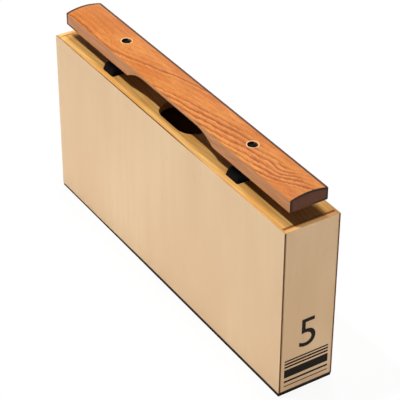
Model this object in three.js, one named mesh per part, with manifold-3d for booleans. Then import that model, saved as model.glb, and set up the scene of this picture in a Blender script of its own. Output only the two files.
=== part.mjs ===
// A bass chime bar: one wooden tone bar on two rubber rests above its own resonance box.
// Millimetres. +X runs along the bar towards the printed end, +Y across it, +Z up.
// The origin is under the middle of the box, on the surface that it stands on.

import * as THREE from 'three';
import { mergeVertices } from 'three/addons/utils/BufferGeometryUtils.js';
import Module from 'manifold-3d';

const wasm = await Module();
wasm.setup();

// Resonance box
const boxLength = 440;
const boxWidth = 64;
const boxHeight = 197;
const endPanelThickness = 6;
const sidePanelThickness = 2.5;
const topBoardThickness = 8;
const bottomBoardThickness = 8;
const cornerBattenWidth = 10;
const glueLine = 0.1;

// Felt under the box
const feltThickness = 2.6;
const feltInset = 0.5;

// Sound hole in the top board, a slot with round ends
const soundHoleLength = 70;
const soundHoleWidth = 41;
const soundHoleArcSteps = 14;

// Tone bar: flat underneath with a tuning arch, crowned on top
const barLength = 425;
const barWidth = 43.5;
const barEdgeThickness = 14.3;
const barCrown = 3;
const barArrisRadius = 1.6;
const barArrisSteps = 3;
const barCrownSteps = 14;
const barLift = 14.5;
const archLength = 163;
const archFlatLength = 101;
const archDepth = 10.2;
const archFlankSteps = 8;

// Holes through the bar, over its two still points
const pinSpacing = 238;
const barHoleRadius = 5.25;
const barHoleChamfer = 1;

// Retaining pins, driven through the top board into a block glued under it
const pinRadius = 2.5;
const pinEndChamfer = 0.6;
const pinBlockLength = 40;
const pinBlockWidth = 40;
const pinBlockThickness = 10;
const pinFloor = 2;
const pinFit = 0.3;

// Rubber sleeves over the pins
const sleeveRadius = 4.5;
const sleeveCapThickness = 1.2;
const sleeveCapRounding = 1.4;
const sleeveSink = 1.3;
const sleeveFit = 0.4;

// Rubber rests under the bar: drafted below, with shoulders that slope up to a raised middle
const restLength = 21.5;
const restWidth = 48.5;
const restDraft = 1.6;
const restBrowHeight = 6.6;
const restShoulderHeight = 8.2;
const restShoulderInnerWidth = 34;
const restTopWidth = 27;
const restEdgeRadius = 1.2;
const restClearance = 0.3;

// How finely round pieces are cut, and how far a cutting tool runs past a face
const roundSteps = 24;
const cutOverrun = 5;

// Heights and half sizes that several pieces share
const panelBase = feltThickness + glueLine;
const innerHalfLength = boxLength / 2 - endPanelThickness - glueLine;
const innerHalfWidth = boxWidth / 2 - sidePanelThickness - glueLine;
const bottomBoardTop = panelBase + bottomBoardThickness;
const topBoardUnderside = boxHeight - topBoardThickness;
const pinBlockTop = topBoardUnderside - glueLine;
const pinBlockBottom = pinBlockTop - pinBlockThickness;
const restBase = boxHeight + glueLine;
const barUnderside = boxHeight + barLift;
const barTopThickness = barEdgeThickness + barCrown;
const restTop = barUnderside - restClearance;
const sleeveTop = barUnderside + barTopThickness - sleeveSink;
const pinTop = sleeveTop - sleeveCapThickness - pinFit;
const pinBottom = pinBlockBottom + pinFloor;
const pinBoreRadius = pinRadius + pinFit;

const birchPly = new THREE.MeshStandardMaterial({ color: 0xdebe9b, roughness: 0.6, metalness: 0 });
const endPly = new THREE.MeshStandardMaterial({ color: 0xc8a985, roughness: 0.6, metalness: 0 });
const pine = new THREE.MeshStandardMaterial({ color: 0xe1aa5f, roughness: 0.55, metalness: 0 });
const innerPine = new THREE.MeshStandardMaterial({ color: 0xd6b27c, roughness: 0.75, metalness: 0 });
const redHardwood = new THREE.MeshStandardMaterial({ color: 0xcf7f46, roughness: 0.45, metalness: 0 });
const blackRubber = new THREE.MeshStandardMaterial({ color: 0x17171a, roughness: 0.7, metalness: 0 });
const zincSteel = new THREE.MeshStandardMaterial({ color: 0xb4b6ba, roughness: 0.35, metalness: 1 });
const darkFelt = new THREE.MeshStandardMaterial({ color: 0x2c2723, roughness: 0.95, metalness: 0 });

// The closed solid of a three.js geometry, with its shared vertices merged.
function solidOf(geometry) {
  const bare = geometry.clone();
  bare.deleteAttribute('normal');
  bare.deleteAttribute('uv');
  const merged = mergeVertices(bare);
  const corners = Array.from(merged.index.array);
  const triVerts = [];
  for (let i = 0; i < corners.length; i += 3) {
    const [a, b, c] = corners.slice(i, i + 3);
    if (a !== b && b !== c && c !== a) triVerts.push(a, b, c);
  }
  return new wasm.Manifold(new wasm.Mesh({
    numProp: 3,
    vertProperties: new Float32Array(merged.attributes.position.array),
    triVerts: new Uint32Array(triVerts),
  }));
}

// The three.js geometry of a solid, with flat faces.
function geometryOf(solid) {
  const { vertProperties, triVerts } = solid.getMesh();
  const geometry = new THREE.BufferGeometry();
  geometry.setAttribute('position', new THREE.BufferAttribute(new Float32Array(vertProperties), 3));
  geometry.setIndex(new THREE.BufferAttribute(new Uint32Array(triVerts), 1));
  const flat = geometry.toNonIndexed();
  flat.computeVertexNormals();
  return flat;
}

function piece(name, geometry, material, position) {
  const mesh = new THREE.Mesh(geometry, material);
  mesh.name = name;
  mesh.position.copy(position);
  return mesh;
}

// A rectangular board that fills the space between two corners.
function board(name, low, high, material) {
  const size = new THREE.Vector3().subVectors(high, low);
  const centre = new THREE.Vector3().addVectors(low, high).multiplyScalar(0.5);
  return piece(name, new THREE.BoxGeometry(size.x, size.y, size.z), material, centre);
}

// A solid of revolution about Z. The profile is a list of [radius, height] from bottom to top.
function turned(profile) {
  const points = profile.map(([radius, height]) => new THREE.Vector2(radius, height));
  return new THREE.LatheGeometry(points, roundSteps).rotateX(Math.PI / 2);
}

// A plain round cutter about Z between two heights.
function drill(radius, bottom, top) {
  return turned([[0, bottom], [radius, bottom], [radius, top], [0, top]]);
}

// A flat outline of [x, y] points carried along Z, half to each side of its own plane.
function extruded(points, depth) {
  const outline = new THREE.Shape(points.map(([x, y]) => new THREE.Vector2(x, y)));
  const block = new THREE.ExtrudeGeometry(outline, { depth, bevelEnabled: false });
  return block.translate(0, 0, -depth / 2);
}

// Places that repeat: the two ends of the box and its two sides.
const ends = [{ word: 'near', sign: 1 }, { word: 'far', sign: -1 }];
const sides = [{ word: 'front', sign: -1 }, { word: 'back', sign: 1 }];

// The lowest and highest of two places, whichever way round they come.
function span(a, b) {
  return [Math.min(a, b), Math.max(a, b)];
}

function baseFelt() {
  const halfLength = boxLength / 2 - feltInset;
  const halfWidth = boxWidth / 2 - feltInset;
  const low = new THREE.Vector3(-halfLength, -halfWidth, 0);
  const high = new THREE.Vector3(halfLength, halfWidth, feltThickness);
  return board('base_felt', low, high, darkFelt);
}

// The end panels stand between the side panels.
function endPanel({ word, sign }) {
  const [x0, x1] = span(sign * boxLength / 2, sign * (boxLength / 2 - endPanelThickness));
  const low = new THREE.Vector3(x0, -innerHalfWidth, panelBase);
  const high = new THREE.Vector3(x1, innerHalfWidth, boxHeight);
  return board(`end_panel_${word}`, low, high, endPly);
}

// The thin side panels run the box's whole length, over the edges of all four boards.
function sidePanel({ word, sign }) {
  const [y0, y1] = span(sign * boxWidth / 2, sign * (boxWidth / 2 - sidePanelThickness));
  const low = new THREE.Vector3(-boxLength / 2, y0, panelBase);
  const high = new THREE.Vector3(boxLength / 2, y1, boxHeight);
  return board(`side_panel_${word}`, low, high, birchPly);
}

function bottomBoard() {
  const low = new THREE.Vector3(-innerHalfLength, -innerHalfWidth, panelBase);
  const high = new THREE.Vector3(innerHalfLength, innerHalfWidth, bottomBoardTop);
  return board('bottom_board', low, high, innerPine);
}

// The sound hole's outline: two straight sides joined by half circles.
function soundHoleCutter() {
  const radius = soundHoleWidth / 2;
  const straight = soundHoleLength / 2 - radius;
  const outline = new THREE.Shape();
  outline.absarc(straight, 0, radius, -Math.PI / 2, Math.PI / 2);
  outline.absarc(-straight, 0, radius, Math.PI / 2, Math.PI * 3 / 2);
  outline.closePath();
  const depth = topBoardThickness + 2 * cutOverrun;
  const cutter = new THREE.ExtrudeGeometry(outline, {
    depth,
    bevelEnabled: false,
    curveSegments: soundHoleArcSteps,
  });
  return cutter.translate(0, 0, -depth / 2);
}

// The top board lies flush between the panels. Its local origin is its middle.
function topBoard() {
  const blank = new THREE.BoxGeometry(2 * innerHalfLength, 2 * innerHalfWidth, topBoardThickness);
  const cutHeight = topBoardThickness / 2 + cutOverrun;
  let solid = solidOf(blank).subtract(solidOf(soundHoleCutter()));
  for (const { sign } of ends) {
    const bore = drill(pinBoreRadius, -cutHeight, cutHeight).translate(sign * pinSpacing / 2, 0, 0);
    solid = solid.subtract(solidOf(bore));
  }
  const middle = new THREE.Vector3(0, 0, boxHeight - topBoardThickness / 2);
  return piece('top_board', geometryOf(solid), pine, middle);
}

// An upright batten glued into a corner between an end panel and a side panel.
function cornerBatten(end, side) {
  const [x0, x1] = span(end.sign * innerHalfLength, end.sign * (innerHalfLength - cornerBattenWidth));
  const [y0, y1] = span(side.sign * innerHalfWidth, side.sign * (innerHalfWidth - cornerBattenWidth));
  const low = new THREE.Vector3(x0, y0, bottomBoardTop + glueLine);
  const high = new THREE.Vector3(x1, y1, topBoardUnderside - glueLine);
  return board(`corner_batten_${end.word}_${side.word}`, low, high, innerPine);
}

// A block under the top board that gives the pin a deeper seat. Its bore stops above its floor.
function pinBlock({ word, sign }) {
  const blank = new THREE.BoxGeometry(pinBlockLength, pinBlockWidth, pinBlockThickness);
  const floor = -pinBlockThickness / 2 + pinFloor - pinFit;
  const bore = drill(pinBoreRadius, floor, pinBlockThickness / 2 + cutOverrun);
  const solid = solidOf(blank).subtract(solidOf(bore));
  const middle = new THREE.Vector3(sign * pinSpacing / 2, 0, pinBlockTop - pinBlockThickness / 2);
  return piece(`pin_block_${word}`, geometryOf(solid), innerPine, middle);
}

function retainingPin({ word, sign }) {
  const length = pinTop - pinBottom;
  const profile = [
    [0, 0],
    [pinRadius - pinEndChamfer, 0],
    [pinRadius, pinEndChamfer],
    [pinRadius, length - pinEndChamfer],
    [pinRadius - pinEndChamfer, length],
    [0, length],
  ];
  const foot = new THREE.Vector3(sign * pinSpacing / 2, 0, pinBottom);
  return piece(`retaining_pin_${word}`, geometryOf(solidOf(turned(profile))), zincSteel, foot);
}

// A rubber tube closed by a rounded cap. It stands on the top board and covers the pin.
function pinSleeve({ word, sign }) {
  const height = sleeveTop - restBase;
  const boreTop = height - sleeveCapThickness;
  const capEdge = sleeveRadius - sleeveCapRounding;
  const profile = [
    [0, boreTop],
    [pinBoreRadius, boreTop],
    [pinBoreRadius, 0],
    [sleeveRadius, 0],
    [sleeveRadius, height - sleeveCapRounding],
    [capEdge + sleeveCapRounding * Math.cos(Math.PI / 4),
      height - sleeveCapRounding + sleeveCapRounding * Math.sin(Math.PI / 4)],
    [capEdge, height],
    [0, height],
  ];
  const foot = new THREE.Vector3(sign * pinSpacing / 2, 0, restBase);
  return piece(`pin_sleeve_${word}`, geometryOf(solidOf(turned(profile))), blackRubber, foot);
}

// The rest seen along the bar: drafted faces up to the brow, sloping shoulders, then the raised middle.
function restAcrossBlank(height) {
  const half = restWidth / 2;
  const brow = half - restDraft;
  const shoulder = restShoulderInnerWidth / 2;
  const top = restTopWidth / 2;
  const right = [
    [half, 0],
    [brow, restBrowHeight - restEdgeRadius],
    [brow - restEdgeRadius, restBrowHeight],
    [shoulder, restShoulderHeight],
    [top, height],
  ];
  const left = right.slice().reverse().map(([across, up]) => [-across, up]);
  return extruded([...right, ...left], restLength).rotateX(Math.PI / 2).rotateZ(Math.PI / 2);
}

// The rest seen across the bar: its ends draw in up to the brow and stand upright above it.
function restAlongBlank(height) {
  const half = restLength / 2;
  const brow = half - restDraft;
  const top = height + cutOverrun;
  const outline = [[-half, 0], [half, 0], [brow, restBrowHeight], [brow, top], [-brow, top],
    [-brow, restBrowHeight]];
  return extruded(outline, restWidth + 2 * cutOverrun).rotateX(Math.PI / 2);
}

// A rubber saddle across the box, with a bore that the pin's sleeve stands in.
function restGeometry() {
  const height = restTop - restBase;
  const block = solidOf(restAcrossBlank(height)).intersect(solidOf(restAlongBlank(height)));
  const bore = drill(sleeveRadius + sleeveFit, -cutOverrun, height + cutOverrun);
  return geometryOf(block.subtract(solidOf(bore)));
}

function barRest({ word, sign }) {
  const seat = new THREE.Vector3(sign * pinSpacing / 2, 0, restBase);
  return piece(`bar_rest_${word}`, restGeometry(), blackRubber, seat);
}

// The bar seen from the side, with its arch below and square above, wide enough for any section.
function barSideBlank() {
  const end = barLength / 2;
  const spring = archLength / 2;
  const flat = archFlatLength / 2;
  const bend = (spring + flat) / 2;
  const top = barTopThickness + cutOverrun;
  const outline = new THREE.Shape();
  outline.moveTo(-end, 0);
  outline.lineTo(-spring, 0);
  outline.quadraticCurveTo(-bend, archDepth, -flat, archDepth);
  outline.lineTo(flat, archDepth);
  outline.quadraticCurveTo(bend, archDepth, spring, 0);
  outline.lineTo(end, 0);
  outline.lineTo(end, top);
  outline.lineTo(-end, top);
  outline.closePath();
  const depth = barWidth + 2 * cutOverrun;
  const blank = new THREE.ExtrudeGeometry(outline, {
    depth,
    bevelEnabled: false,
    curveSegments: archFlankSteps,
  });
  return blank.translate(0, 0, -depth / 2).rotateX(Math.PI / 2);
}

// One half of the bar's top outline, from the arris to the middle, as [across, height] points.
// The arris is a round whose end meets the crown's slope, and the crown is a parabola.
function barTopHalf() {
  const slope = Math.atan(2 * barCrown / (barWidth / 2));
  const centreAcross = barWidth / 2 - barArrisRadius;
  const centreHeight = barEdgeThickness - barArrisRadius;
  const points = [];
  for (let i = 0; i <= barArrisSteps; i += 1) {
    const turn = (Math.PI / 2 - slope) * i / barArrisSteps;
    const across = centreAcross + barArrisRadius * Math.cos(turn);
    points.push([across, centreHeight + barArrisRadius * Math.sin(turn)]);
  }
  const [crownAcross, crownHeight] = points[points.length - 1];
  const rise = barTopThickness - crownHeight;
  for (let i = 1; i <= barCrownSteps / 2; i += 1) {
    const share = 1 - i / (barCrownSteps / 2);
    points.push([crownAcross * share, crownHeight + rise * (1 - share * share)]);
  }
  return points;
}

// The bar seen from its end, crowned above and running past the underside below.
function barEndBlank() {
  const half = barTopHalf();
  const mirrored = half.slice(0, -1).reverse().map(([across, height]) => [-across, height]);
  const foot = [[-barWidth / 2, -cutOverrun], [barWidth / 2, -cutOverrun]];
  const blank = extruded([...foot, ...half, ...mirrored], barLength + 2 * cutOverrun);
  return blank.rotateX(Math.PI / 2).rotateZ(Math.PI / 2);
}

// A hole cutter with a chamfer where it leaves the bar's top.
function barHoleCutter() {
  const chamferStart = barTopThickness - barHoleChamfer;
  const past = cutOverrun + barHoleChamfer;
  return turned([
    [0, -cutOverrun],
    [barHoleRadius, -cutOverrun],
    [barHoleRadius, chamferStart],
    [barHoleRadius + past, chamferStart + past],
    [0, chamferStart + past],
  ]);
}

function toneBar() {
  let solid = solidOf(barSideBlank()).intersect(solidOf(barEndBlank()));
  for (const { sign } of ends) {
    solid = solid.subtract(solidOf(barHoleCutter().translate(sign * pinSpacing / 2, 0, 0)));
  }
  const underside = new THREE.Vector3(0, 0, barUnderside);
  return piece('tone_bar', geometryOf(solid), redHardwood, underside);
}

const resonanceBox = new THREE.Group();
resonanceBox.add(baseFelt(), bottomBoard(), topBoard());
resonanceBox.add(...ends.map(endPanel), ...sides.map(sidePanel));
for (const end of ends) resonanceBox.add(...sides.map((side) => cornerBatten(end, side)));
resonanceBox.add(...ends.map(pinBlock));

const barSupports = new THREE.Group();
barSupports.add(...ends.map(barRest), ...ends.map(retainingPin), ...ends.map(pinSleeve));

const chimeBar = new THREE.Group();
chimeBar.add(resonanceBox, barSupports, toneBar());

export default chimeBar;
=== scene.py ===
"""A bass chime bar dressed for its portrait: plywood box, golden top board, reddish bar on black rubber.

Lengths are metres in the frame's own axes: +X along the bar to the near end, +Y across to the back, +Z up.
"""

import math

import bpy
import numpy as np
from mathutils import Matrix, Vector


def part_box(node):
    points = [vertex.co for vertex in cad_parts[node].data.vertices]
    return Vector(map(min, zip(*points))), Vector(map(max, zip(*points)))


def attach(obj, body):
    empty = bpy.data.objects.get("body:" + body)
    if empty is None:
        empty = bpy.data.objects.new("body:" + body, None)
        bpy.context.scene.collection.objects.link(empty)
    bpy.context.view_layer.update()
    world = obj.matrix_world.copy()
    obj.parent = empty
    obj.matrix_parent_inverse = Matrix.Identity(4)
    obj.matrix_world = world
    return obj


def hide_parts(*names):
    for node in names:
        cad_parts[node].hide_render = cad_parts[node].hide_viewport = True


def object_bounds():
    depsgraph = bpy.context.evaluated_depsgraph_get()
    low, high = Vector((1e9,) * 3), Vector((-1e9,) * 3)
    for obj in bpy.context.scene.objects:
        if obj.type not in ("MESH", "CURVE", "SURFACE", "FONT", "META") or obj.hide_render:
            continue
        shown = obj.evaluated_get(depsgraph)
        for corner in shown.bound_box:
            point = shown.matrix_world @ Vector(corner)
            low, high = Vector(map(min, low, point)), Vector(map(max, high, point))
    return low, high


MM = 0.001

# Tone bar, as the frame has it: the arch below, the crown above
BAR_EDGE_THICKNESS = 14.3 * MM
BAR_ARCH_LENGTH = 163 * MM
BAR_ARCH_FLAT_LENGTH = 101 * MM
BAR_ARCH_DEPTH = 10.2 * MM
BAR_TOP_ARRIS = 1.6 * MM
BAR_LOWER_ARRIS = 0.9 * MM
BAR_END_ROUNDING = 1.1 * MM
BAR_HOLE_RADIUS = 5.25 * MM
BAR_HOLE_ROUNDING = 1.0 * MM

# Sound hole, a slot with round ends, and the top board's softened edges
SOUND_HOLE_LENGTH = 70 * MM
SOUND_HOLE_WIDTH = 41 * MM
SOUND_HOLE_ROUNDING = 0.9 * MM
BOARD_ARRIS = 0.5 * MM

# Rubber rests and sleeves
REST_DRAFT = 1.6 * MM
REST_BROW_HEIGHT = 6.6 * MM
REST_BROW_ROUNDING = 1.6 * MM
REST_SHOULDER_HEIGHT = 8.2 * MM
REST_SHOULDER_INNER_WIDTH = 34 * MM
REST_TOP_WIDTH = 27 * MM
REST_CORNER_RADIUS = 1.8 * MM
SLEEVE_BORE_RADIUS = 2.8 * MM
SLEEVE_CAP_THICKNESS = 1.2 * MM
SLEEVE_CAP_ROUNDING = 1.8 * MM
SLEEVE_FIT = 0.4 * MM

# Softened edges of the pieces that stay as the frame has them: widths, facets, and the least corner that is
# softened, in degrees
PANEL_ARRIS = 0.5 * MM
HIDDEN_ARRIS = 0.4 * MM
ARRIS_FACETS = 3
ARRIS_ANGLE = 40

# Meshing: the turn in degrees past which an edge stays sharp, the distance within which two vertices are one,
# how nearly a point has to lie on an edge, and how far a drill reaches past its piece
SHARP_ANGLE = 32
WELD_DISTANCE = 1e-6
EDGE_TOLERANCE = 1e-9
DRILL_EXCESS = 2 * MM

# Facets round a whole circle
TURNED_FACETS = 64
BAR_HOLE_FACETS = 72

# Facets round a half or quarter round, over half the bar's crown, and round a rest's bend
SOUND_HOLE_FACETS = 24
BOARD_EDGE_FACETS = 5
BAR_CROWN_FACETS = 12
BAR_END_FACETS = 6
BAR_LOWER_ARRIS_FACETS = 4
BAR_TOP_ARRIS_FACETS = 5
BAR_HOLE_MOUTH_FACETS = 6
REST_CORNER_FACETS = 6
REST_BEND_FACETS = 6
SLEEVE_CAP_FACETS = 8

# Facets along the bar's straight part beyond the arch, down one flank of the arch, and along half its flat
BAR_STRAIGHT_FACETS = 21
BAR_FLANK_FACETS = 15
BAR_FLAT_FACETS = 8

# Growth lines on the bar: how far they climb across per length, their start, their pitch, and how far wander,
# ripple and feather carry them. Then bends (from x, to x, rise), one swelling (x, y, reach, rise) that they
# curl round, and the two belts where they are bold. The front belt ends within a stretch at the middle line
GRAIN_CLIMB = 0.21
GRAIN_START = 3.0 * MM
GRAIN_PITCH = 6.8 * MM
GRAIN_WANDER = 1.6 * MM
GRAIN_RIPPLE = 1.1 * MM
GRAIN_FEATHER = 1.0 * MM
GRAIN_BENDS = (
    (-130 * MM, 15 * MM, 12 * MM),
    (-95 * MM, -220 * MM, 20 * MM),
    (165 * MM, 215 * MM, 13 * MM),
)
GRAIN_SWELLING = (170 * MM, 4 * MM, 17 * MM, 4.5 * MM)
GRAIN_FRONT_BELT = (163 * MM, 204 * MM)
GRAIN_FAR_BELT = (230 * MM, 235 * MM)
GRAIN_FADE = 11 * MM

# One growth line in shares of a pitch: where its dark late wood comes and goes, and its pale early wood. Then
# how bold a line is outside the belts and in them, and the noise that carries it all the way to either side
LATE_RISE, LATE_FALL = (0.38, 0.84), (1.0, 0.82)
EARLY_RISE, EARLY_FALL = (0.0, 0.12), (0.4, 0.2)
GRAIN_BOLDNESS = (0.16, 0.95)
NOISE_SPREAD = (0.2, 0.8)

# Growth rings of the top board: how many to a metre across it and down it, and how many the noise adds
BOARD_RINGS_ACROSS = 210.0
BOARD_RINGS_DEEP = 90.0
BOARD_WANDER = 9.0

# Widths of the painted shade along the bar's arrises and of the dark rim round its ends, and the ring of
# painted highlight at each hole
ARRIS_SHADE_WIDTH = 5.0 * MM
END_RIM_WIDTH = 3.4 * MM
HOLE_RING_RADIUS = 6.9 * MM
HOLE_RING_EDGE = 0.6 * MM
HOLE_MOUTH_EDGE = 0.3 * MM

# Glue in the joints at the ends, and the dark band along the panels' foot: its height where it is least and
# most, the stretch of x in which it grows, and the softness of its edge
GLUE_LINE_WIDTH = 2.8 * MM
FOOT_BAND = (0.8 * MM, 2.4 * MM)
FOOT_BAND_GROWS = (-170 * MM, 10 * MM)
FOOT_BAND_EDGE = 0.3 * MM

# Core of the side panels, from its inner to its outer face, and the two stretches of x in which its line on
# the top edge gets darker: from the near end inwards, and from the far end inwards
SIDE_CORE = (30.1 * MM, 31.9 * MM)
SIDE_CORE_FROM_NEAR = (110 * MM, 0.0)
SIDE_CORE_FROM_FAR = (-140 * MM, -100 * MM)

# How much of a surface's normal lies along an axis when it begins to face that way, and when it does in full
FACING = (0.6, 0.8)

# Depth of each finish's relief
BAR_RELIEF = 0.06 * MM
PLY_RELIEF = 0.03 * MM
BOARD_RELIEF = 0.03 * MM
SAWN_RELIEF = 0.15 * MM
RUBBER_RELIEF = 0.05 * MM
FELT_RELIEF = 0.12 * MM

# Ink printed on the near end. Heights are above the part's base, and a stripe runs from one height to another
INK_THICKNESS = 0.04 * MM
NUMERAL_HEIGHT = 34 * MM
NUMERAL_BASE = 52 * MM
LABEL_HALF_WIDTH = 26 * MM
LABEL_STRIPES = (
    (10 * MM, 11.2 * MM),
    (15 * MM, 17.4 * MM),
    (21 * MM, 31 * MM),
    (33.2 * MM, 35.4 * MM),
    (37 * MM, 39.2 * MM),
    (40.8 * MM, 42.6 * MM),
)

# Camera, as solved from the corners of the box and the bar in the photograph: angles in degrees, its distance
# and shifts in metres, its lens and sensor in millimetres
CAMERA_AZIMUTH = 57.5244
CAMERA_ELEVATION = 34.584
CAMERA_ROLL = 0.2213
CAMERA_DISTANCE = 1.8027
CAMERA_ASIDE = 0.0141
CAMERA_RAISED = 0.0779
CAMERA_LENS = 150.25
SENSOR_WIDTH = 36.0

# Lamps as direction from the object, distance, width, height and power in watts. The edges of the shadow
# under the bar place the first three: a small key, a weak one from behind, and a soft one nearly overhead
LAMPS = {
    "key_lamp": ((-0.17, -0.31, 1.0), 2.2, 0.09, 0.09, 26),
    "second_lamp": ((-0.45, 0.3, 1.0), 2.2, 0.3, 0.3, 11),
    "overhead_lamp": ((0.02, 0.08, 1.0), 2.2, 0.4, 0.2, 18),
    "front_lamp": ((-0.2, -1.0, 0.0), 2.0, 1.8, 0.2, 15.5),
    "end_lamp": ((1.0, 0.0, 0.0), 2.0, 1.2, 0.2, 15.6),
    "back_lamp": ((0.2, 1.0, 0.0), 2.0, 1.8, 0.2, 14),
}

# Light from all round, and the floor: the share and strength of the white that the camera sees on it, its
# half width, and how far it lies below the part
AMBIENT = 0.04
FLOOR_GLOW = 0.92
FLOOR_GLOW_STRENGTH = 1.01
FLOOR_REACH = 6.0
FLOOR_DROP = 0.05 * MM

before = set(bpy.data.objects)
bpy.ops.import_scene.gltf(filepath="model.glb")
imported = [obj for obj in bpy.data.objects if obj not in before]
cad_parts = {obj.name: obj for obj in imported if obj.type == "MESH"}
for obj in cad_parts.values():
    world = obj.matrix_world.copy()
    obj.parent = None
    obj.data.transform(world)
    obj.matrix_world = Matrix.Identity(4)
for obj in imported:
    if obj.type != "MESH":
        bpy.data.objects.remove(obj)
cad_low, cad_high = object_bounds()


# Meshes


def mesh_piece(name, vertices, faces):
    """A new object whose mesh has these vertices (n by 3) and faces, shaded smooth up to sharp corners."""
    mesh = bpy.data.meshes.new(name)
    mesh.from_pydata(np.asarray(vertices, float).tolist(), [], [list(map(int, face)) for face in faces])
    mesh.validate()
    shade(mesh)
    piece = bpy.data.objects.new(name, mesh)
    bpy.context.scene.collection.objects.link(piece)
    return piece


def shade(mesh):
    """Smooth faces, with edges that turn more than the angle kept sharp."""
    mesh.polygons.foreach_set("use_smooth", np.ones(len(mesh.polygons), bool))
    mesh.set_sharp_from_angle(angle=math.radians(SHARP_ANGLE))
    mesh.update()


def grid_faces(rows, columns, close_rows=False):
    """Quads of a rows by columns grid of vertices, whose columns, and rows if asked, join up at the end."""
    row = np.arange(rows if close_rows else rows - 1)[:, None]
    column = np.arange(columns)[None, :]
    next_row, next_column = (row + 1) % rows, (column + 1) % columns
    corners = [
        row * columns + column,
        row * columns + next_column,
        next_row * columns + next_column,
        next_row * columns + column,
    ]
    return np.stack([np.broadcast_to(c, (row.size, column.size)) for c in corners], -1).reshape(-1, 4)


def capped_sweep(name, loops):
    """A closed body from loops (stations by points by 3) that all go round the same way, with flat ends."""
    stations, points, _ = loops.shape
    faces = grid_faces(stations, points).tolist()
    faces.append(list(range(points))[::-1])
    faces.append([(stations - 1) * points + i for i in range(points)])
    return mesh_piece(name, loops.reshape(-1, 3), faces)


def lathe(name, profile, centre, steps=TURNED_FACETS):
    """A solid of revolution about an upright axis, from a profile of (radius, height) from pole to pole."""
    profile = np.asarray(profile, float)
    turn = np.linspace(0, 2 * np.pi, steps, endpoint=False)
    radius, height = profile[1:-1, 0], profile[1:-1, 1]
    ring = np.stack(
        [
            radius[:, None] * np.cos(turn),
            radius[:, None] * np.sin(turn),
            np.repeat(height[:, None], steps, 1),
        ],
        -1,
    ).reshape(-1, 3)
    poles = [[0, 0, profile[0, 1]], [0, 0, profile[-1, 1]]]
    vertices = np.vstack([ring, poles]) + np.asarray(centre, float)
    faces = grid_faces(len(radius), steps).tolist()
    bottom, top, last = len(ring), len(ring) + 1, len(ring) - steps
    for i in range(steps):
        j = (i + 1) % steps
        faces.append([bottom, j, i])
        faces.append([top, last + i, last + j])
    return mesh_piece(name, vertices, faces)


def carve(piece, cutter):
    """Takes the cutter's shape out of the piece and deletes the cutter."""
    modifier = piece.modifiers.new("carve", "BOOLEAN")
    modifier.operation, modifier.solver, modifier.object = "DIFFERENCE", "EXACT", cutter
    depsgraph = bpy.context.evaluated_depsgraph_get()
    carved = bpy.data.meshes.new_from_object(piece.evaluated_get(depsgraph))
    piece.modifiers.remove(modifier)
    old, piece.data = piece.data, carved
    bpy.data.meshes.remove(old)
    bpy.data.objects.remove(cutter)
    shade(piece.data)


def arc(centre, radius, start, end, steps):
    """Points (steps + 1 by 2) on a round from one angle to another, in degrees."""
    turn = np.radians(np.linspace(start, end, steps + 1))
    return np.asarray(centre, float) + radius * np.stack([np.cos(turn), np.sin(turn)], -1)


# Pieces


def arch_height(x):
    """How far the underside rises at x: flat in the middle, a parabola down each flank, nothing beyond."""
    spring, flat = BAR_ARCH_LENGTH / 2, BAR_ARCH_FLAT_LENGTH / 2
    share = np.clip((spring - np.abs(x)) / (spring - flat), 0, 1)
    return BAR_ARCH_DEPTH * (1 - (1 - share) ** 2)


def bar_section(half_width, thickness, lift, inset):
    """The bar cut across at one station, as a loop (points by 2) of across and height.

    The underside is flat at the lift, the lower arrises are small rounds, and each upper arris is a round
    that meets the slope of the parabola over the top. The inset draws the whole loop inwards near the ends.
    """
    half = half_width - inset
    crown = thickness - BAR_EDGE_THICKNESS
    edge = BAR_EDGE_THICKNESS - inset
    slope = math.degrees(math.atan(2 * crown / half_width))
    base = lift + inset
    lower_right = arc((half - BAR_LOWER_ARRIS, base + BAR_LOWER_ARRIS), BAR_LOWER_ARRIS, -90, 0,
                      BAR_LOWER_ARRIS_FACETS)
    upper_right = arc((half - BAR_TOP_ARRIS, edge - BAR_TOP_ARRIS), BAR_TOP_ARRIS, 0, 90 - slope,
                      BAR_TOP_ARRIS_FACETS)
    across, height = upper_right[-1]
    share = np.linspace(1, 0, BAR_CROWN_FACETS + 1)[1:]
    rise = thickness - inset - height
    crown_right = np.stack([across * share, height + rise * (1 - share**2)], -1)
    right = np.vstack([lower_right, upper_right, crown_right])
    left = right[:-1][::-1] * (-1, 1)
    return np.vstack([right, left])


def bar_stations(half_length):
    """Places along the bar with their insets: close together round the ends and down the arch's flanks."""
    turn = np.radians(np.linspace(90, 0, BAR_END_FACETS + 1))
    end_inset = BAR_END_ROUNDING * (1 - np.cos(turn))
    end_x = half_length - BAR_END_ROUNDING * (1 - np.sin(turn))
    spring, flat = BAR_ARCH_LENGTH / 2, BAR_ARCH_FLAT_LENGTH / 2
    straight = np.linspace(end_x[-1], spring, BAR_STRAIGHT_FACETS + 1)[1:]
    flank = np.linspace(spring, flat, BAR_FLANK_FACETS + 1)[1:]
    middle = np.linspace(flat, 0, BAR_FLAT_FACETS + 1)[1:]
    x = np.concatenate([end_x, straight, flank, middle])
    inset = np.concatenate([end_inset, np.zeros(len(x) - len(end_x))])
    return np.concatenate([x, -x[-2::-1]]), np.concatenate([inset, inset[-2::-1]])


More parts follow.
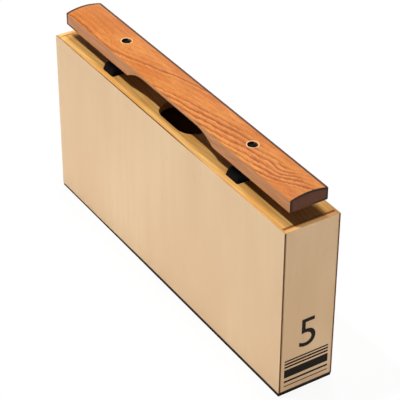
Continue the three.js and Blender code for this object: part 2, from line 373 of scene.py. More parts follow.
def make_tone_bar():
    """The finished bar: sections carried along its length, with two round-edged holes."""
    low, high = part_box("tone_bar")
    half_width, half_length, thickness = high.y, high.x, high.z - low.z
    x, inset = bar_stations(half_length)
    lift = arch_height(x)
    loops = []
    for station, rise, draw in zip(x, lift, inset):
        section = bar_section(half_width, thickness, rise, draw)
        loops.append(np.column_stack([np.full(len(section), station), section[:, 0], low.z + section[:, 1]]))
    bar = capped_sweep("tone_bar_finished", np.array(loops)[::-1])
    for node in ("pin_sleeve_near", "pin_sleeve_far"):
        carve(bar, hole_cutter(centre_of(node), low.z, high.z))
    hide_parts("tone_bar")
    return bar


def centre_of(node):
    """The middle of a node's box, seen from above."""
    low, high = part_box(node)
    return (low.x + high.x) / 2, (low.y + high.y) / 2


def hole_cutter(centre, bottom, top):
    """A drill for the bar's hole: a cylinder that flares out in a quarter round at the bar's top."""
    bottom -= DRILL_EXCESS
    centre_of_round = (BAR_HOLE_RADIUS + BAR_HOLE_ROUNDING, top - BAR_HOLE_ROUNDING)
    flare = arc(centre_of_round, BAR_HOLE_ROUNDING, 180, 90, BAR_HOLE_MOUTH_FACETS)
    wide = flare[-1][0] + DRILL_EXCESS
    profile = [(0, bottom), (BAR_HOLE_RADIUS, bottom), *flare.tolist()]
    profile += [(wide, top), (wide, top + DRILL_EXCESS), (0, top + DRILL_EXCESS)]
    return lathe("hole_cutter", profile, (*centre, 0), steps=BAR_HOLE_FACETS)


def rounded_rectangle(half_length, half_width, radius, steps):
    """A rectangle seen from above with round corners, as a loop that runs anticlockwise."""
    corners = []
    for sx, sy, start in ((1, 1, 0), (-1, 1, 90), (-1, -1, 180), (1, -1, 270)):
        centre = (sx * (half_length - radius), sy * (half_width - radius))
        corners.append(arc(centre, radius, start, start + 90, steps))
    return np.vstack(corners)


def rest_profile(half_width, height):
    """Half the rest across the box, as (height, half width): drafted to the brow, then shoulder and middle.

    The brow and the bend above it are quadratic curves that leave the straight sides just before the corner.
    """
    brow = half_width - REST_DRAFT
    corners = np.array([
        (0, half_width),
        (REST_BROW_HEIGHT, brow),
        (REST_SHOULDER_HEIGHT, REST_SHOULDER_INNER_WIDTH / 2),
        (height, REST_TOP_WIDTH / 2),
    ])
    curves = [corners[:1]]
    for before, corner, after in zip(corners, corners[1:], corners[2:]):
        start = corner + REST_BROW_ROUNDING * (before - corner) / np.linalg.norm(before - corner)
        end = corner + REST_BROW_ROUNDING * (after - corner) / np.linalg.norm(after - corner)
        t = np.linspace(0, 1, REST_BEND_FACETS + 1)[:, None]
        curves.append((1 - t) ** 2 * start + 2 * t * (1 - t) * corner + t**2 * end)
    return np.vstack([*curves, corners[-1:]])


def make_rest(end):
    """A rubber saddle: rounded rectangles stacked up its profile, with a bore for the sleeve.

    Its ends draw in by the draft up to the brow and stand upright above it.
    """
    node = f"bar_rest_{end}"
    low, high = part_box(node)
    half_length = (high.x - low.x) / 2
    loops = []
    for up, half_width in rest_profile(high.y, high.z - low.z):
        length = half_length - REST_DRAFT * min(up / REST_BROW_HEIGHT, 1)
        outline = rounded_rectangle(length, half_width, REST_CORNER_RADIUS, REST_CORNER_FACETS)
        loops.append(np.column_stack([outline + centre_of(node), np.full(len(outline), low.z + up)]))
    rest = capped_sweep(f"{node}_moulded", np.array(loops))
    sleeve_low, sleeve_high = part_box(f"pin_sleeve_{end}")
    bore = (sleeve_high.x - sleeve_low.x) / 2 + SLEEVE_FIT
    bottom, top = low.z - DRILL_EXCESS, high.z + DRILL_EXCESS
    drill = [(0, bottom), (bore, bottom), (bore, top), (0, top)]
    carve(rest, lathe("rest_drill", drill, (*centre_of(node), 0)))
    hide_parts(node)
    return rest


def make_sleeve(end):
    """A rubber tube over the pin, closed by a rounded cap: a profile turned about the pin's axis."""
    node = f"pin_sleeve_{end}"
    low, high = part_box(node)
    radius = (high.x - low.x) / 2
    bore_top = high.z - SLEEVE_CAP_THICKNESS
    centre_of_round = (radius - SLEEVE_CAP_ROUNDING, high.z - SLEEVE_CAP_ROUNDING)
    cap = arc(centre_of_round, SLEEVE_CAP_ROUNDING, 0, 90, SLEEVE_CAP_FACETS)
    profile = [(0, bore_top), (SLEEVE_BORE_RADIUS, bore_top), (SLEEVE_BORE_RADIUS, low.z), (radius, low.z)]
    profile += [*cap.tolist(), (0, high.z)]
    sleeve = lathe(f"{node}_moulded", profile, (*centre_of(node), 0))
    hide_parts(node)
    return sleeve


def slot_outline(half_length, half_width, steps):
    """The sound hole's edge, as a loop that runs anticlockwise: two half rounds joined by straight sides."""
    straight = half_length - half_width
    right = arc((straight, 0), half_width, -90, 90, steps)
    left = arc((-straight, 0), half_width, 90, 270, steps)
    return np.vstack([right, left])


def make_top_board():
    """The top board as a ring: its section, a rounded rectangle, is carried round the sound hole.

    At each place round the loop the section runs from a point on the slot to a point on the board's edge,
    where a ray from the middle meets the rectangle.
    """
    low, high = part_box("top_board")
    half = np.array([high.x, high.y])
    slot = slot_outline(SOUND_HOLE_LENGTH / 2, SOUND_HOLE_WIDTH / 2, SOUND_HOLE_FACETS)
    reach = np.maximum(np.abs(slot[:, 0]) / half[0], np.abs(slot[:, 1]) / half[1])
    outer = slot / reach[:, None]
    slot, outer = with_corners(slot, outer, half)
    outward = slot_normals(slot)
    quarter = np.radians(np.linspace(0, 90, BOARD_EDGE_FACETS + 1))
    rings = []
    for turn in quarter:
        rings.append((slot + outward * SOUND_HOLE_ROUNDING * (1 - math.cos(turn)),
                      high.z - SOUND_HOLE_ROUNDING * (1 - math.sin(turn))))
    square = np.sign(outer) * (np.abs(outer) >= half - EDGE_TOLERANCE)
    for turn in quarter[::-1]:
        rings.append((outer - square * BOARD_ARRIS * (1 - math.cos(turn)),
                      high.z - BOARD_ARRIS * (1 - math.sin(turn))))
    rings.append((outer, low.z))
    rings.append((slot, low.z))
    loops = np.array([np.column_stack([flat, np.full(len(flat), z)]) for flat, z in rings])
    faces = grid_faces(len(loops), len(slot), close_rows=True)[:, ::-1]
    board = mesh_piece("top_board_finished", loops.reshape(-1, 3), faces)
    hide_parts("top_board")
    return board


def with_corners(slot, outer, half):
    """Both loops with four more places, so that the outer one passes through the board's corners."""
    angle = np.arctan2(outer[:, 1], outer[:, 0])
    for sx, sy in ((1, 1), (-1, 1), (-1, -1), (1, -1)):
        corner = half * (sx, sy)
        turn = math.atan2(corner[1], corner[0])
        after = np.argmin((angle - turn) % (2 * np.pi))
        before = (after - 1) % len(angle)
        slot = np.insert(slot, after, (slot[before] + slot[after]) / 2, axis=0)
        outer = np.insert(outer, after, corner, axis=0)
        angle = np.insert(angle, after, turn)
    return slot, outer


def slot_normals(slot):
    """The direction out of the slot at each point of its loop, from the points on either side."""
    along = np.roll(slot, -1, 0) - np.roll(slot, 1, 0)
    normal = np.stack([along[:, 1], -along[:, 0]], -1)
    return normal / np.linalg.norm(normal, axis=1, keepdims=True)


def soften(node, width):
    """Rounds a board's edges: its loose triangles are welded first, then its corners are bevelled."""
    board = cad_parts[node]
    weld = board.modifiers.new("weld", "WELD")
    weld.merge_threshold = WELD_DISTANCE
    bevel = board.modifiers.new("arris", "BEVEL")
    bevel.width, bevel.segments, bevel.limit_method = width, ARRIS_FACETS, "ANGLE"
    bevel.angle_limit = math.radians(ARRIS_ANGLE)
    return board


# Shader wiring


def put(tree, kind, inputs=None, **settings):
    """Adds a node. Each input is a value or another node's output socket."""
    node = tree.nodes.new(kind)
    for name, value in settings.items():
        setattr(node, name, value)
    for key, value in (inputs or {}).items():
        if isinstance(value, bpy.types.NodeSocket):
            tree.links.new(value, node.inputs[key])
        else:
            node.inputs[key].default_value = value
    return node


def new_finish(name, roughness, specular=0.5):
    """An empty material with a principled shader. Returns the material, its tree and the shader."""
    material = bpy.data.materials.new(name)
    material.use_nodes = True
    tree = material.node_tree
    tree.nodes.clear()
    shader = put(tree, "ShaderNodeBsdfPrincipled", {"Roughness": roughness, "Specular IOR Level": specular})
    put(tree, "ShaderNodeOutputMaterial", {"Surface": shader.outputs["BSDF"]})
    return material, tree, shader


def place(tree):
    """The point being shaded, in the piece's own axes, in metres."""
    return put(tree, "ShaderNodeTexCoord").outputs["Object"]


def stretched(tree, point, scale, shift=(0, 0, 0)):
    """The point scaled along each axis, so that a pattern of unit size fits the grain."""
    mapping = put(tree, "ShaderNodeMapping", {"Vector": point, "Scale": scale, "Location": shift})
    return mapping.outputs["Vector"]


def split(tree, vector):
    """The vector's parts, by the names X, Y and Z."""
    return put(tree, "ShaderNodeSeparateXYZ", {"Vector": vector}).outputs


def noise(tree, vector, detail=2.0, roughness=0.5):
    """Smooth noise from 0 to 1 over a stretched point."""
    inputs = {"Vector": vector, "Scale": 1.0, "Detail": detail, "Roughness": roughness}
    return put(tree, "ShaderNodeTexNoise", inputs).outputs["Fac"]


def maths(tree, operation, first, second=0.0):
    """One step of reckoning on two values."""
    return put(tree, "ShaderNodeMath", {0: first, 1: second}, operation=operation).outputs["Value"]


def times(tree, *values):
    """The product of two or more values."""
    product = values[0]
    for value in values[1:]:
        product = maths(tree, "MULTIPLY", product, value)
    return product


def between(tree, value, low, high, to_low=0.0, to_high=1.0):
    """The value's place between low and high, eased at both ends, on a new scale."""
    inputs = {"Value": value, "From Min": low, "From Max": high, "To Min": to_low, "To Max": to_high}
    node = put(tree, "ShaderNodeMapRange", inputs, interpolation_type="SMOOTHSTEP")
    return node.outputs["Result"]


def blend(tree, share, first, second):
    """Two colours mixed by the share."""
    node = put(tree, "ShaderNodeMix", data_type="RGBA")
    for index, value in ((0, share), (6, first), (7, second)):
        if isinstance(value, bpy.types.NodeSocket):
            tree.links.new(value, node.inputs[index])
        else:
            node.inputs[index].default_value = value
    return node.outputs[2]


def two_tone(tree, pattern, tones, low=0.3, high=0.7):
    """The first tone where the pattern is low, the second where it is high."""
    return blend(tree, between(tree, pattern, low, high), *tones)


def relief(tree, shader, height, depth):
    """Bumps the shader's surface by the height, from 0 to 1, over the depth in metres."""
    bump = put(tree, "ShaderNodeBump", {"Height": height, "Strength": 1.0, "Distance": depth})
    tree.links.new(bump.outputs["Normal"], shader.inputs["Normal"])


def paint(tree, shader, colour):
    """Gives the shader its colour."""
    tree.links.new(colour, shader.inputs["Base Color"])


def rgb(red, green, blue):
    """A colour given as a screen shows it, from 0 to 255, in the light that it stands for."""
    share = np.array([red, green, blue]) / 255
    linear = np.where(share <= 0.04045, share / 12.92, ((share + 0.055) / 1.055) ** 2.4)
    return (*linear.tolist(), 1.0)


def facing(tree, axis, sign=0):
    """1 where the surface faces along the axis, 0 where it faces across it. A sign of 0 takes both ways."""
    part = split(tree, put(tree, "ShaderNodeTexCoord").outputs["Normal"])[axis]
    along = times(tree, part, float(sign)) if sign else maths(tree, "ABSOLUTE", part)
    return between(tree, along, *FACING)


# Tones as a screen shows them. Where a finish has two, a pattern blends them

BAR_TONES = rgb(202, 116, 44), rgb(225, 145, 70)
BAR_MOTTLE_TONE = rgb(182, 104, 44)
BAR_EARLY_TONE = rgb(246, 169, 98)
BAR_LATE_TONE = rgb(142, 68, 22)
BAR_FIBRE_TONE = rgb(170, 90, 38)
BAR_PORE_TONE = rgb(104, 48, 20)
# Painted sheen: the bar's front and back in greyer browns
BAR_SIDE_SHEEN_TONES = rgb(160, 106, 64), rgb(194, 138, 94)
# Painted shade: the bar's underside, darkened to deepen the shade under the bar
BAR_UNDERSIDE_SHADE_TONES = rgb(76, 42, 24), rgb(104, 62, 38)
BAR_END_TONES = rgb(68, 32, 11), rgb(88, 44, 17)
# Painted shade along the bar's arrises
BAR_ARRIS_SHADE_TONE = rgb(70, 26, 5)
BAR_RIM_TONE = rgb(14, 6, 4)
# Painted highlight ring round the mouth of each hole
BAR_RING_HIGHLIGHT_TONE = rgb(252, 208, 152)
SIDE_TONES = rgb(223, 193, 154), rgb(216, 183, 143)
SIDE_EDGE_TONES = rgb(240, 190, 126), rgb(228, 172, 108)
SIDE_FLECK_TONE = rgb(160, 118, 80)
SIDE_CORE_TONE = rgb(72, 34, 2)
SIDE_END_TONE = rgb(184, 144, 100)
SIDE_END_CORE_TONES = rgb(50, 24, 4), rgb(92, 52, 18)
END_TONES = rgb(209, 177, 141), rgb(192, 159, 121)
END_EDGE_TONES = rgb(250, 192, 118), rgb(234, 167, 98)
END_FLECK_TONE = rgb(140, 100, 66)
BOARD_TONES = rgb(250, 197, 117), rgb(237, 174, 92)
BOARD_LATE_TONE = rgb(192, 128, 48)
BOARD_FIBRE_TONE = rgb(206, 140, 62)
INNER_TONES = rgb(206, 170, 120), rgb(176, 136, 88)
RUBBER_TONES = rgb(3, 3, 4), rgb(10, 9, 11)
STEEL_TONES = rgb(168, 170, 176), rgb(205, 207, 212)
FELT_TONES = rgb(22, 13, 8), rgb(50, 34, 24)
INK_TONES = rgb(20, 16, 13), rgb(84, 68, 50)
GLUE_TONE = rgb(132, 64, 4)
# Dark band along the panels' foot
FOOT_BAND_TONE = rgb(26, 15, 9)
FLOOR_TONE = rgb(248, 248, 248)
WHITE = rgb(255, 255, 255)


# Finishes


def bar_wood():
    """Oiled reddish hardwood, sawn so that its growth lines climb slowly across the bar as they run along it.

    A growth line is where a tilted plane, bent by noise, passes a whole number of pitches. The lines are
    boldest in one belt along the front and in another beyond the middle. The front and back take greyer
    browns as a painted sheen. The underside, left from the saw, is painted darker as painted shade under
    the bar. The ends are dark with a dark rim, the arrises carry painted shade, and a painted highlight
    rings each hole.
    """
    material, tree, shader = new_finish("oiled_hardwood", roughness=0.45, specular=0.2)
    point = place(tree)
    parts = split(tree, point)
    level = grain_level(tree, point, parts)
    ring = maths(tree, "FRACT", maths(tree, "DIVIDE", level, -GRAIN_PITCH))
    late = times(tree, between(tree, ring, *LATE_RISE), between(tree, ring, *LATE_FALL))
    early = times(tree, between(tree, ring, *EARLY_RISE), between(tree, ring, *EARLY_FALL))
    fade = noise(tree, stretched(tree, point, (16, 90, 90), (3, 1, 2)), detail=1.0)
    front_half = between(tree, parts["Y"], GRAIN_FADE, 0.0)
    front_belt = times(tree, belt(tree, level, *GRAIN_FRONT_BELT), front_half)
    belts = maths(tree, "MAXIMUM", front_belt, belt(tree, level, *GRAIN_FAR_BELT))
    belts = times(tree, belts, between(tree, fade, 0.3, 0.55, 0.6, 1.0))
    boldness = between(tree, belts, 0.0, 1.0, *GRAIN_BOLDNESS)
    late = times(tree, late, boldness)
    early = times(tree, early, boldness)
    fibre = noise(tree, stretched(tree, point, (24, 700, 700)), detail=3.0, roughness=0.6)
    pores = noise(tree, stretched(tree, point, (110, 1500, 1500)), detail=1.0)
    clouds = noise(tree, stretched(tree, point, (16, 60, 60), (5, 7, 1)), detail=2.0)
    mottle = noise(tree, stretched(tree, point, (120, 330, 330), (2, 5, 3)), detail=3.0, roughness=0.65)
    base = two_tone(tree, clouds, BAR_TONES)
    mottled = blend(tree, between(tree, mottle, 0.42, 0.75, to_high=0.5), base, BAR_MOTTLE_TONE)
    lightened = blend(tree, times(tree, early, 0.42), mottled, BAR_EARLY_TONE)
    lined = blend(tree, late, lightened, BAR_LATE_TONE)
    streaked = blend(tree, between(tree, fibre, 0.25, 0.8, to_high=0.42), lined, BAR_FIBRE_TONE)
    speckled = blend(tree, between(tree, pores, 0.6, 0.72, to_high=0.45), streaked, BAR_PORE_TONE)
    # Painted sheen: the front and back take greyer browns
    side_sheen = times(tree, facing(tree, "Y"), 0.8)
    sheened = blend(tree, side_sheen, speckled, two_tone(tree, fibre, BAR_SIDE_SHEEN_TONES))
    # Painted highlight: a pale ring round each hole's mouth
    ringed = blend(tree, painted_hole_highlight(tree, parts), sheened, BAR_RING_HIGHLIGHT_TONE)
    # Painted shade along the top's back arris, and dark lines round the far end and its foot
    edged = blend(tree, painted_arris_shade(tree, parts), ringed, BAR_ARRIS_SHADE_TONE)
    # Painted shade: the underside is left from the saw and darkened to deepen the shade under the bar
    sawn = blend(tree, facing(tree, "Z", -1), edged, blend(tree, fibre, *BAR_UNDERSIDE_SHADE_TONES))
    end_tone = two_tone(tree, pores, BAR_END_TONES, 0.35, 0.65)
    end_tone = blend(tree, end_rim(tree, parts), end_tone, BAR_RIM_TONE)
    paint(tree, shader, blend(tree, facing(tree, "X"), sawn, end_tone))
    grain = maths(tree, "ADD", times(tree, fibre, 0.6), times(tree, late, -0.25))
    relief(tree, shader, grain, BAR_RELIEF)
    return material


def grain_level(tree, point, parts):
    """How high each point lies in the tree's growth, in metres.

    It is a plane tilted along the bar, bent towards both ends and swollen at one spot, with slow wander, a
    finer ripple and a feathering as fine as the fibres.
    """
    climb = times(tree, parts["X"], -GRAIN_CLIMB)
    level = maths(tree, "ADD", maths(tree, "ADD", parts["Y"], climb), parts["Z"])
    level = maths(tree, "ADD", level, GRAIN_START)
    swell_x, swell_y, swell_reach, swell_rise = GRAIN_SWELLING
    along = maths(tree, "SUBTRACT", parts["X"], swell_x)
    across = maths(tree, "SUBTRACT", parts["Y"], swell_y)
    away = maths(tree, "ADD", times(tree, along, along), times(tree, across, across))
    level = maths(tree, "ADD", level, between(tree, away, swell_reach**2, 0.0, 0.0, swell_rise))
    for start, stop, rise in GRAIN_BENDS:
        level = maths(tree, "SUBTRACT", level, between(tree, parts["X"], start, stop, 0.0, rise))
    wander = noise(tree, stretched(tree, point, (9, 26, 26), (0.4, 0, 0)), detail=1.5)
    ripple = noise(tree, stretched(tree, point, (45, 120, 120)), detail=2.5)
    feather = noise(tree, stretched(tree, point, (130, 600, 600), (1, 1, 4)), detail=2.0)
    for pattern, reach in ((wander, GRAIN_WANDER), (ripple, GRAIN_RIPPLE), (feather, GRAIN_FEATHER)):
        level = maths(tree, "ADD", level, between(tree, pattern, *NOISE_SPREAD, -reach, reach))
    return level


def painted_arris_shade(tree, parts):
    """The share of painted shade on the bar's arrises: along the top's back arris, which turns from the
    light, round the far end, and along the foot by the far end.
    """
    low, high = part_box("tone_bar")
    back = between(tree, parts["Y"], high.y - ARRIS_SHADE_WIDTH, high.y - 0.6 * ARRIS_SHADE_WIDTH)
    corner = low.z + BAR_EDGE_THICKNESS
    upper = between(tree, parts["Z"], corner - 1.5 * BAR_TOP_ARRIS, corner - BAR_TOP_ARRIS)
    back = times(tree, back, upper)
    end = between(tree, parts["X"], low.x + 0.9 * ARRIS_SHADE_WIDTH, low.x + 0.6 * ARRIS_SHADE_WIDTH)
    foot = between(tree, parts["Z"], low.z + 0.6 * ARRIS_SHADE_WIDTH, low.z + 0.4 * ARRIS_SHADE_WIDTH)
    far = between(tree, parts["X"], low.x + 6 * ARRIS_SHADE_WIDTH, low.x + 4 * ARRIS_SHADE_WIDTH)
    foot = times(tree, foot, far)
    return maths(tree, "MAXIMUM", maths(tree, "MAXIMUM", back, end), foot)


def belt(tree, level, low, high):
    """1 between two levels, fading out over half a pitch on either side."""
    rise = between(tree, level, low - GRAIN_PITCH / 2, low)
    return times(tree, rise, between(tree, level, high + GRAIN_PITCH / 2, high))


def painted_hole_highlight(tree, parts):
    """The share of painted highlight round the mouth of the bar's holes: a ring about each pin, on the top
    only.
    """
    pin_x, _ = centre_of("pin_sleeve_near")
    along = maths(tree, "SUBTRACT", maths(tree, "ABSOLUTE", parts["X"]), pin_x)
    across = parts["Y"]
    reach = maths(tree, "SQRT", maths(tree, "ADD", times(tree, along, along), times(tree, across, across)))
    ring = between(tree, reach, HOLE_RING_RADIUS, HOLE_RING_RADIUS - HOLE_RING_EDGE, 0.0, 0.75)
    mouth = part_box("tone_bar")[1].z - 1.5 * BAR_HOLE_ROUNDING
    return times(tree, ring, between(tree, parts["Z"], mouth - HOLE_MOUTH_EDGE, mouth))


def end_rim(tree, parts):
    """The share of the dark rim on the bar's ends: under the top's parabola, up both sides, along the foot.

    The foot's line fades out from the back towards the front.
    """
    low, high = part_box("tone_bar")
    crown = high.z - low.z - BAR_EDGE_THICKNESS
    across = maths(tree, "ABSOLUTE", parts["Y"])
    drop = times(tree, across, across, crown / high.y**2)
    depth = maths(tree, "SUBTRACT", maths(tree, "SUBTRACT", high.z, drop), parts["Z"])
    top = between(tree, depth, END_RIM_WIDTH, 0.6 * END_RIM_WIDTH)
    upright = between(tree, across, high.y - END_RIM_WIDTH, high.y - 0.6 * END_RIM_WIDTH)
    foot = between(tree, parts["Z"], low.z + END_RIM_WIDTH, low.z + 0.6 * END_RIM_WIDTH)
    foot = times(tree, foot, between(tree, parts["Y"], 0.0, 0.6 * high.y))
    return maths(tree, "MAXIMUM", maths(tree, "MAXIMUM", top, upright), foot)


def veneer(name, tones, edge_tones, fleck_tone, grain_scale):
    """Lacquered plywood: a quiet veneer on its faces, with fine streaks along the grain and slow clouding.

    Its top edges show the two edge tones in patches. Returns the material, its tree, its shader and the
    colour, which the caller paints on.
    """
    material, tree, shader = new_finish(name, roughness=0.55, specular=0.25)
    point = place(tree)
    clouds = noise(tree, stretched(tree, point, (14, 14, 5)), detail=2.0)
    streaks = noise(tree, stretched(tree, point, grain_scale), detail=4.0, roughness=0.6)
    flecks = noise(tree, stretched(tree, point, [4.5 * s for s in grain_scale], (2, 3, 4)), detail=1.0)
    face = two_tone(tree, clouds, tones)
    face = blend(tree, between(tree, streaks, 0.35, 0.75, to_high=0.5), face, tones[1])
    face = blend(tree, between(tree, flecks, 0.68, 0.8, to_high=0.2), face, fleck_tone)
    patches = noise(tree, stretched(tree, point, (22, 22, 22), (1, 2, 3)), detail=3.0)
    top = two_tone(tree, patches, edge_tones, 0.35, 0.65)
    relief(tree, shader, streaks, PLY_RELIEF)
    return material, tree, shader, blend(tree, facing(tree, "Z"), face, top)


def side_ply():
    """Birch plywood sides. Along the thin sheet's edges its core shows as a dark line between two pale plies.

    On the top edge the line is faint near the near end, dark in the middle and weaker towards the far end.
    """
    material, tree, shader, coloured = veneer(
        "birch_side", SIDE_TONES, SIDE_EDGE_TONES, SIDE_FLECK_TONE, (90, 90, 7)
    )
    parts = split(tree, place(tree))
    across = maths(tree, "ABSOLUTE", parts["Y"])
    middle, half = sum(SIDE_CORE) / 2, (SIDE_CORE[1] - SIDE_CORE[0]) / 2
    away = maths(tree, "ABSOLUTE", maths(tree, "SUBTRACT", across, middle))
    core = between(tree, away, half, 0.6 * half)
    patches = noise(tree, stretched(tree, place(tree), (30, 30, 60)), detail=2.0)
    patchy = between(tree, patches, 0.3, 0.6, 0.9, 1.0)
    near = between(tree, parts["X"], *SIDE_CORE_FROM_NEAR, 0.3, 1.0)
    far = between(tree, parts["X"], *SIDE_CORE_FROM_FAR, 0.7, 1.0)
    top_core = times(tree, core, patchy, near, far, facing(tree, "Z"))
    topped = blend(tree, top_core, coloured, SIDE_CORE_TONE)
    fibres = noise(tree, stretched(tree, place(tree), (900, 900, 60)), detail=2.0)
    end_core = between(tree, away, 1.2 * half, 0.8 * half)
    end = blend(tree, end_core, SIDE_END_TONE, blend(tree, fibres, *SIDE_END_CORE_TONES))
    paint(tree, shader, foot_darkened(tree, parts, blend(tree, facing(tree, "X"), topped, end)))
    return material


def foot_darkened(tree, parts, colour):
    """A panel's colour with a dark band along its foot, bolder towards the near end."""
    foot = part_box("side_panel_front")[0].z
    band_height = between(tree, parts["X"], *FOOT_BAND_GROWS, *FOOT_BAND)
    above = maths(tree, "SUBTRACT", parts["Z"], band_height)
    return blend(tree, between(tree, above, foot, foot - FOOT_BAND_EDGE), colour, FOOT_BAND_TONE)


def end_ply():
    """Birch plywood ends: the grain runs up, the top edge is orange, and glue darkens their joints.

    The line of glue is bold on the near end and faint on the far one.
    """
    material, tree, shader, coloured = veneer(
        "birch_end", END_TONES, END_EDGE_TONES, END_FLECK_TONE, (120, 120, 10)
    )
    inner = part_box("end_panel_near")[0].x
    parts = split(tree, place(tree))
    outward = maths(tree, "ABSOLUTE", parts["X"])
    glue = between(tree, outward, inner + 0.6 * GLUE_LINE_WIDTH, inner + 0.3 * GLUE_LINE_WIDTH)
    boldness = between(tree, parts["X"], -inner, inner, 0.4, 0.8)
    glued = blend(tree, times(tree, glue, boldness), coloured, GLUE_TONE)
    paint(tree, shader, foot_darkened(tree, parts, glued))
    return material


def golden_softwood():
    """Lacquered softwood with fine growth lines along the board, ochre and pale, glued at its near end."""
    material, tree, shader = new_finish("golden_softwood", roughness=0.55, specular=0.12)
    point = place(tree)
    wander = noise(tree, stretched(tree, point, (5, 18, 18)), detail=2.0)
    parts = split(tree, point)
    across, deep = times(tree, parts["Y"], BOARD_RINGS_ACROSS), times(tree, parts["Z"], BOARD_RINGS_DEEP)
    growth = maths(tree, "ADD", maths(tree, "ADD", across, times(tree, wander, BOARD_WANDER)), deep)
    ring = maths(tree, "FRACT", growth)
    late = times(tree, between(tree, ring, 0.3, 0.9), between(tree, ring, 1.0, 0.93))
    clouds = noise(tree, stretched(tree, point, (16, 50, 50), (1, 4, 2)), detail=3.0)
    fibre = noise(tree, stretched(tree, point, (30, 900, 900)), detail=3.0)
    base = two_tone(tree, clouds, BOARD_TONES, 0.32, 0.7)
    lined = blend(tree, times(tree, late, 0.35), base, BOARD_LATE_TONE)
    streaked = blend(tree, between(tree, fibre, 0.3, 0.8, to_high=0.25), lined, BOARD_FIBRE_TONE)
    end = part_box("top_board")[1].x
    glue = between(tree, parts["X"], end - 0.9 * GLUE_LINE_WIDTH, end - 0.4 * GLUE_LINE_WIDTH)
    paint(tree, shader, blend(tree, times(tree, glue, 0.8), streaked, GLUE_TONE))
    relief(tree, shader, fibre, BOARD_RELIEF)
    return material


def inner_softwood():
    """Bare sawn softwood inside the box."""
    material, tree, shader = new_finish("sawn_softwood", roughness=0.8)
    point = place(tree)
    fibre = noise(tree, stretched(tree, point, (25, 400, 60)), detail=4.0)
    paint(tree, shader, two_tone(tree, fibre, INNER_TONES))
    relief(tree, shader, fibre, SAWN_RELIEF)
    return material


def moulded_rubber():
    """Black rubber with a faint bloom and a fine moulded texture."""
    material, tree, shader = new_finish("black_rubber", roughness=0.6, specular=0.04)
    point = place(tree)
    bloom = noise(tree, stretched(tree, point, (180, 180, 180)), detail=3.0)
    speck = noise(tree, stretched(tree, point, (2400, 2400, 2400)), detail=2.0)
    paint(tree, shader, two_tone(tree, bloom, RUBBER_TONES, 0.35, 0.7))
    relief(tree, shader, speck, RUBBER_RELIEF)
    return material


def plated_steel():
    """Zinc-plated steel, faintly streaked round the pin."""
    material, tree, shader = new_finish("plated_steel", roughness=0.3)
    shader.inputs["Metallic"].default_value = 1.0
    streak = noise(tree, stretched(tree, place(tree), (300, 300, 3000)), detail=2.0)
    paint(tree, shader, two_tone(tree, streak, STEEL_TONES))
    return material


def dark_felt():
    """Pressed dark felt: short fibres in every direction."""
    material, tree, shader = new_finish("dark_felt", roughness=0.95, specular=0.03)
    fuzz = noise(tree, stretched(tree, place(tree), (1600, 1600, 1600)), detail=4.0, roughness=0.7)
    paint(tree, shader, two_tone(tree, fuzz, FELT_TONES))
    relief(tree, shader, fuzz, FELT_RELIEF)
    return material


def black_ink():
    """Screen-printed black ink, slightly worn."""
    material, tree, shader = new_finish("black_ink", roughness=0.6, specular=0.08)
    wear = noise(tree, stretched(tree, place(tree), (900, 900, 900)), detail=3.0)
    paint(tree, shader, blend(tree, between(tree, wear, 0.55, 0.75, to_high=0.5), *INK_TONES))
    return material


# Printed end


def printed(name, outlines):
    """Ink on the near end: flat outlines (across, height) with a real thickness, standing on the panel."""
    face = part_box("end_panel_near")[1].x
    vertices, faces = [], []
    for outline in outlines:
        start, count = len(vertices), len(outline)
        for x in (face, face + INK_THICKNESS):
            vertices.extend([x, across, height] for across, height in outline)
        front = [start + count + i for i in range(count)]
        back = [start + i for i in range(count)][::-1]
        faces += [front, back]
        faces += [[start + i, start + (i + 1) % count, start + count + (i + 1) % count, start + count + i]
                  for i in range(count)]
    return mesh_piece(name, vertices, faces)


def rectangle(left, right, bottom, top):
    """A rectangle's corners, anticlockwise."""
    return [(left, bottom), (right, bottom), (right, top), (left, top)]


def make_label_band():
    """Plain printed stripes at the foot of the panel."""
    across = (-LABEL_HALF_WIDTH, LABEL_HALF_WIDTH)
    return printed("printed_band", [rectangle(*across, *stripe) for stripe in LABEL_STRIPES])


def make_numeral():
    """The numeral 5 in plain type: set at any size, then scaled to its height and the ink's thickness."""
    curve = bpy.data.curves.new("numeral", "FONT")
    curve.body, curve.align_x, curve.size, curve.extrude = "5", "CENTER", 1.0, 0.5
    text = bpy.data.objects.new("numeral", curve)
    bpy.context.scene.collection.objects.link(text)
    bpy.context.view_layer.update()
    mesh = bpy.data.meshes.new_from_object(text.evaluated_get(bpy.context.evaluated_depsgraph_get()))
    bpy.data.objects.remove(text)
    co = np.zeros(len(mesh.vertices) * 3, np.float32)
    mesh.vertices.foreach_get("co", co)
    co = co.reshape(-1, 3)
    size = co.max(0) - co.min(0)
    scale = NUMERAL_HEIGHT / size[1]
    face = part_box("end_panel_near")[1].x
    middle = (co.max(0) + co.min(0)) / 2
    placed = np.column_stack([
        face + (co[:, 2] - co[:, 2].min()) / size[2] * INK_THICKNESS,
        (co[:, 0] - middle[0]) * scale,
        NUMERAL_BASE + (co[:, 1] - co[:, 1].min()) * scale,
    ])
    mesh.vertices.foreach_set("co", placed.astype(np.float32).ravel())
    mesh.update()
    piece = bpy.data.objects.new("printed_numeral", mesh)
    bpy.context.scene.collection.objects.link(piece)
    return piece


# Studio


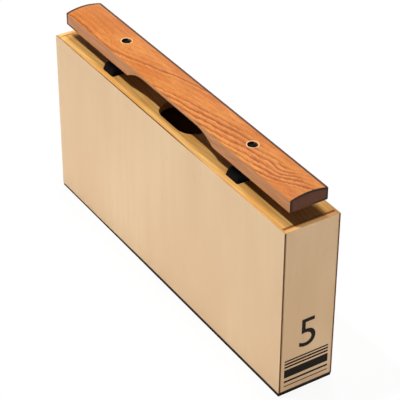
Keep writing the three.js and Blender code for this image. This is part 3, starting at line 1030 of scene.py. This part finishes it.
def make_camera():
    """The photograph's view: it looks back along the azimuth and elevation, rolled a little."""
    azimuth, elevation, roll = map(math.radians, (CAMERA_AZIMUTH, CAMERA_ELEVATION, CAMERA_ROLL))
    back = Vector((math.sin(azimuth) * math.cos(elevation), -math.cos(azimuth) * math.cos(elevation),
                   math.sin(elevation)))
    level = Vector((math.cos(azimuth), math.sin(azimuth), 0))
    upright = back.cross(level)
    right = math.cos(roll) * level + math.sin(roll) * upright
    up = math.cos(roll) * upright - math.sin(roll) * level
    camera = bpy.data.cameras.new("camera")
    camera.lens, camera.sensor_width = CAMERA_LENS, SENSOR_WIDTH
    eye = bpy.data.objects.new("camera", camera)
    position = back * CAMERA_DISTANCE + right * CAMERA_ASIDE + up * CAMERA_RAISED
    eye.matrix_world = Matrix.Translation(position) @ Matrix((right, up, back)).transposed().to_4x4()
    bpy.context.scene.collection.objects.link(eye)
    bpy.context.scene.camera = eye


def make_lamp(name, towards, distance, width, height, power):
    """A soft rectangular lamp that stands in a direction from the object's middle and faces it."""
    lamp = bpy.data.lights.new(name, "AREA")
    lamp.shape, lamp.size, lamp.size_y, lamp.energy = "RECTANGLE", width, height, power
    stand = bpy.data.objects.new(name, lamp)
    direction = Vector(towards).normalized()
    stand.location = (cad_low + cad_high) / 2 + direction * distance
    stand.rotation_mode = "QUATERNION"
    stand.rotation_quaternion = direction.to_track_quat("Z", "Y")
    bpy.context.scene.collection.objects.link(stand)


def make_floor():
    """A wide white floor that shows the object's shadow and otherwise reads as white to the camera."""
    reach, height = FLOOR_REACH, -FLOOR_DROP
    corners = [(x, y, height) for x, y in rectangle(-reach, reach, -reach, reach)]
    floor = mesh_piece("floor", corners, [[0, 1, 2, 3]])
    material = bpy.data.materials.new("floor_white")
    material.use_nodes = True
    tree = material.node_tree
    tree.nodes.clear()
    diffuse = put(tree, "ShaderNodeBsdfDiffuse", {"Color": FLOOR_TONE})
    glow = put(tree, "ShaderNodeEmission", {"Color": WHITE, "Strength": FLOOR_GLOW_STRENGTH})
    rays = put(tree, "ShaderNodeLightPath")
    seen = times(tree, rays.outputs["Is Camera Ray"], FLOOR_GLOW)
    inputs = {0: seen, 1: diffuse.outputs["BSDF"], 2: glow.outputs["Emission"]}
    mixed = put(tree, "ShaderNodeMixShader", inputs)
    put(tree, "ShaderNodeOutputMaterial", {"Surface": mixed.outputs["Shader"]})
    floor.data.materials.append(material)


def make_world():
    """Even pale light from all round, and plain white where the camera or a gloss reflection sees it."""
    world = bpy.data.worlds.new("studio")
    bpy.context.scene.world = world
    world.use_nodes = True
    tree = world.node_tree
    tree.nodes.clear()
    rays = put(tree, "ShaderNodeLightPath")
    seen = maths(tree, "MAXIMUM", rays.outputs["Is Camera Ray"], rays.outputs["Is Glossy Ray"])
    strength = between(tree, seen, 0.0, 1.0, AMBIENT, 1.0)
    sky = put(tree, "ShaderNodeBackground", {"Color": WHITE, "Strength": strength})
    put(tree, "ShaderNodeOutputWorld", {"Surface": sky.outputs["Background"]})


# Assembly


def finish_piece(piece, material, body="resonator"):
    """Gives a new piece its material, and lets it ride on its body."""
    piece.data.materials.clear()
    piece.data.materials.append(material)
    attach(piece, body)


def finish_node(node, material, arris):
    """Gives a carried-over node its material and softens its edges."""
    slot = soften(node, arris).material_slots[0]
    slot.link = "OBJECT"
    slot.material = material


make_camera()

finishes = {
    "bar": bar_wood(),
    "side": side_ply(),
    "end": end_ply(),
    "top": golden_softwood(),
    "inner": inner_softwood(),
    "rubber": moulded_rubber(),
    "steel": plated_steel(),
    "felt": dark_felt(),
    "ink": black_ink(),
}

finish_piece(make_tone_bar(), finishes["bar"], "bar")
finish_piece(make_top_board(), finishes["top"])
for end in ("near", "far"):
    finish_piece(make_rest(end), finishes["rubber"])
    finish_piece(make_sleeve(end), finishes["rubber"])
    finish_node(f"end_panel_{end}", finishes["end"], PANEL_ARRIS)
    finish_node(f"pin_block_{end}", finishes["inner"], HIDDEN_ARRIS)
    finish_node(f"retaining_pin_{end}", finishes["steel"], HIDDEN_ARRIS)
    for side in ("front", "back"):
        finish_node(f"corner_batten_{end}_{side}", finishes["inner"], HIDDEN_ARRIS)
for side in ("front", "back"):
    finish_node(f"side_panel_{side}", finishes["side"], PANEL_ARRIS)
finish_node("bottom_board", finishes["inner"], HIDDEN_ARRIS)
finish_node("base_felt", finishes["felt"], HIDDEN_ARRIS)
finish_piece(make_numeral(), finishes["ink"])
finish_piece(make_label_band(), finishes["ink"])

for lamp_name, settings in LAMPS.items():
    make_lamp(lamp_name, *settings)
make_floor()
make_world()

scene = bpy.context.scene
scene.view_settings.view_transform = "Standard"
